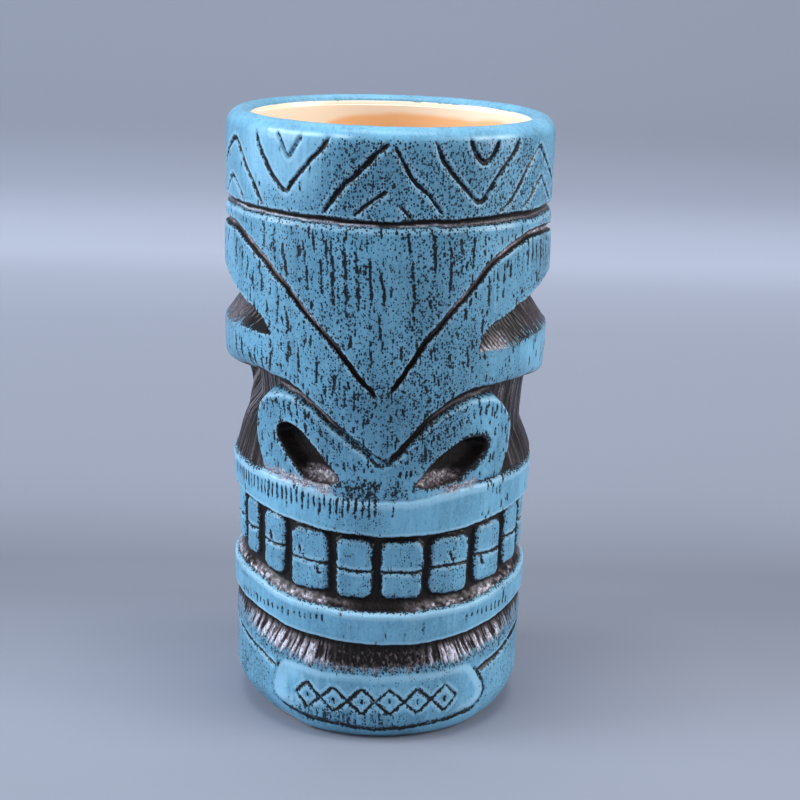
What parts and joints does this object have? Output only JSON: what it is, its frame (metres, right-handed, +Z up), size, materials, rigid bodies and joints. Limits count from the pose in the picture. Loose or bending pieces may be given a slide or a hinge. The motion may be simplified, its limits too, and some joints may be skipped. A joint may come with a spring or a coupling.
{
  "type": "tiki mug",
  "caption": "Tall cylindrical ceramic cup carved in relief with a stylised face, glazed blue outside over dark wash and warm cream inside.",
  "frame": {"origin": "middle of the foot, on the surface the mug stands on", "axes": "+Z up through the mouth; -Y is the front, the way the face looks; +X is to the right of someone facing the mug"},
  "size_m": [0.085, 0.085, 0.16],
  "materials": {
    "fired_clay": "matte, unglazed on the foot",
    "blue_glaze": "glossy clear glaze over brushed blue on black-brown wash",
    "cream_liner": "glossy, deeper orange towards the floor"
  },
  "bodies": {
    "root": {"clay_body": "fired_clay", "outer_glaze": "blue_glaze", "liner_glaze": "cream_liner"}
  },
  "joints": []
}
